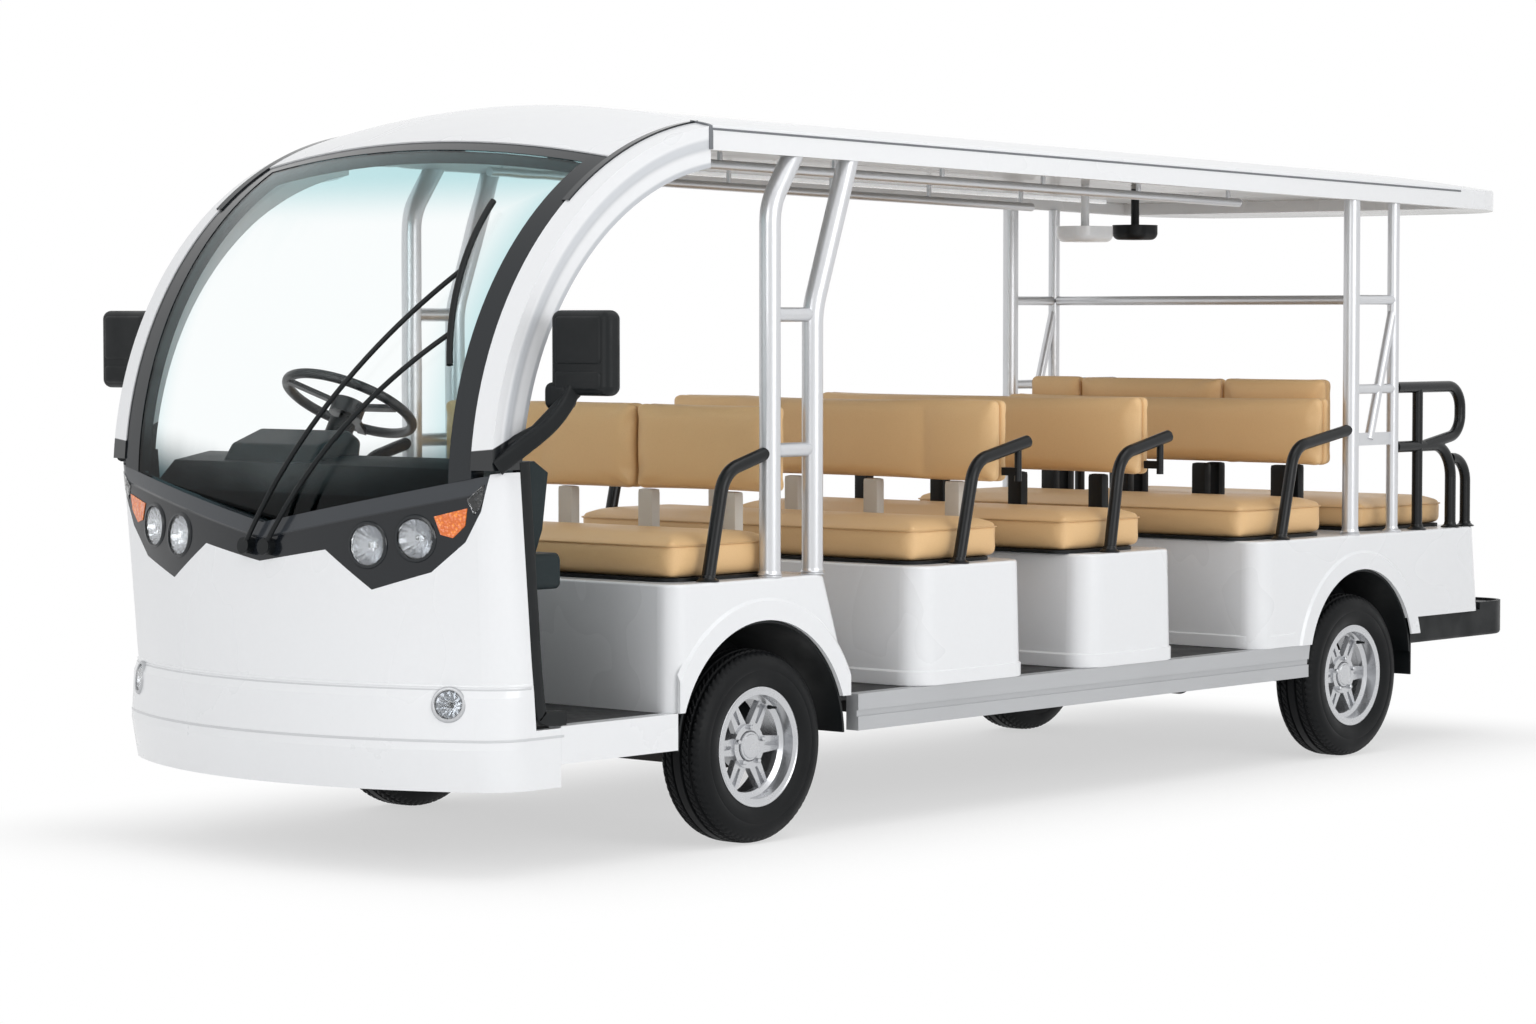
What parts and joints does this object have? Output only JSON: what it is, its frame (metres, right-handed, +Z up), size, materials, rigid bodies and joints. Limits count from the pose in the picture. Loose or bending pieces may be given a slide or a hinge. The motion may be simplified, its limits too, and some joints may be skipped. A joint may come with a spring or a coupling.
{
  "type": "shuttle cart",
  "caption": "Open-sided electric shuttle cart with bench rows, a long roof, curved windscreen, handrails, steered front wheels and a rear footboard.",
  "frame": {"origin": "on the ground below the middle of the overall length and width", "axes": "+X forward, +Y to the left of the vehicle, +Z up"},
  "size_m": [5.3505, 2, 2.057],
  "materials": {
    "body_white": "glossy white moulded panels",
    "black_trim": "satin black trim",
    "screen_glass": "clear with a faint blue-green tint",
    "lamp_glass": "clear lens",
    "amber_lens": "clear amber",
    "red_lens": "clear red",
    "mirror_face": "polished",
    "chassis_paint": "satin black paint",
    "floor_mat": "ribbed mat",
    "aluminium_tube": "satin",
    "black_tube": "satin black powder coat",
    "grip_black": "fine grain",
    "seat_leather": "tan soft leatherette",
    "wheel_alloy": "silver paint",
    "tyre_rubber": "road rubber",
    "lamp_chrome": "bright reflector"
  },
  "bodies": {
    "chassis": {"a_pillars": "body_white", "arch_liners": "black_trim", "backrest_struts": "aluminium_tube", "battery_pack": "chassis_paint", "cab_bulkhead": "black_trim", "ceiling_lamp": "body_white", "ceiling_rails": "aluminium_tube", "ceiling_speaker": "black_trim", "chassis_crossmembers": "chassis_paint", "chassis_rails": "chassis_paint", "dashboard": "black_trim", "floor_deck": "floor_mat", "fog_lamp_lenses": "lamp_glass", "front_axle": "chassis_paint", "front_cowl": "body_white", "front_posts": "aluminium_tube", "front_steps": "body_white", "headlamp_lenses": "lamp_glass", "indicator_lenses": "amber_lens", "lamp_bowls": "lamp_chrome", "lamp_panel": "black_trim", "leaf_springs": "chassis_paint", "middle_bases": "body_white", "mirror_arms": "black_trim", "mirror_glasses": "mirror_face", "mirror_heads": "black_trim", "mudflaps": "black_trim", "rear_axle": "chassis_paint", "rear_body": "body_white", "rear_handrails": "black_tube", "rear_posts": "aluminium_tube", "rear_step": "black_trim", "roof_cap": "body_white", "roof_panel": "body_white", "row1_base": "body_white", "seat_backrests": "seat_leather", "seat_boards": "black_trim", "seat_cushions": "seat_leather", "side_handrails": "black_tube", "side_sills": "aluminium_tube", "steering_column": "black_trim", "tail_lamps": "red_lens", "tow_bracket": "chassis_paint", "windscreen": "screen_glass", "windscreen_trim": "black_trim", "wiper": "black_trim"},
    "steering_wheel": {"steering_wheel": "grip_black"},
    "knuckle_left": {"knuckle_left": "chassis_paint"},
    "knuckle_right": {"knuckle_right": "chassis_paint"},
    "wheel_front_left": {"rim_front_left": "wheel_alloy", "tyre_front_left": "tyre_rubber"},
    "wheel_front_right": {"rim_front_right": "wheel_alloy", "tyre_front_right": "tyre_rubber"},
    "wheel_rear_left": {"rim_rear_left": "wheel_alloy", "tyre_rear_left": "tyre_rubber"},
    "wheel_rear_right": {"rim_rear_right": "wheel_alloy", "tyre_rear_right": "tyre_rubber"}
  },
  "joints": [
    {"name": "steering_turn", "type": "hinge", "parent": "chassis", "child": "steering_wheel", "pos_m": [2.025, -0.277, 1.217], "axis": [-0.4695, 0, 0.8829], "range_deg": [-450, 450]},
    {"name": "left_steer", "type": "hinge", "parent": "chassis", "child": "knuckle_left", "pos_m": [1.425, 0.54, 0.27], "axis": [0, 0, 1], "range_deg": [-30, 30]},
    {"name": "right_steer", "type": "hinge", "parent": "chassis", "child": "knuckle_right", "pos_m": [1.425, -0.54, 0.27], "axis": [0, 0, 1], "range_deg": [-30, 30]},
    {"name": "front_left_spin", "type": "hinge", "parent": "knuckle_left", "child": "wheel_front_left", "pos_m": [1.425, 0.66, 0.27], "axis": [0, 1, 0], "continuous": true},
    {"name": "rear_left_spin", "type": "hinge", "parent": "chassis", "child": "wheel_rear_left", "pos_m": [-1.575, 0.66, 0.27], "axis": [0, 1, 0], "continuous": true},
    {"name": "front_right_spin", "type": "hinge", "parent": "knuckle_right", "child": "wheel_front_right", "pos_m": [1.425, -0.66, 0.27], "axis": [0, 1, 0], "continuous": true},
    {"name": "rear_right_spin", "type": "hinge", "parent": "chassis", "child": "wheel_rear_right", "pos_m": [-1.575, -0.66, 0.27], "axis": [0, 1, 0], "continuous": true}
  ],
  "couplings": [
    {"joint": "left_steer", "follows": "steering_turn", "ratio": 0.066667},
    {"joint": "right_steer", "follows": "steering_turn", "ratio": 0.066667}
  ]
}
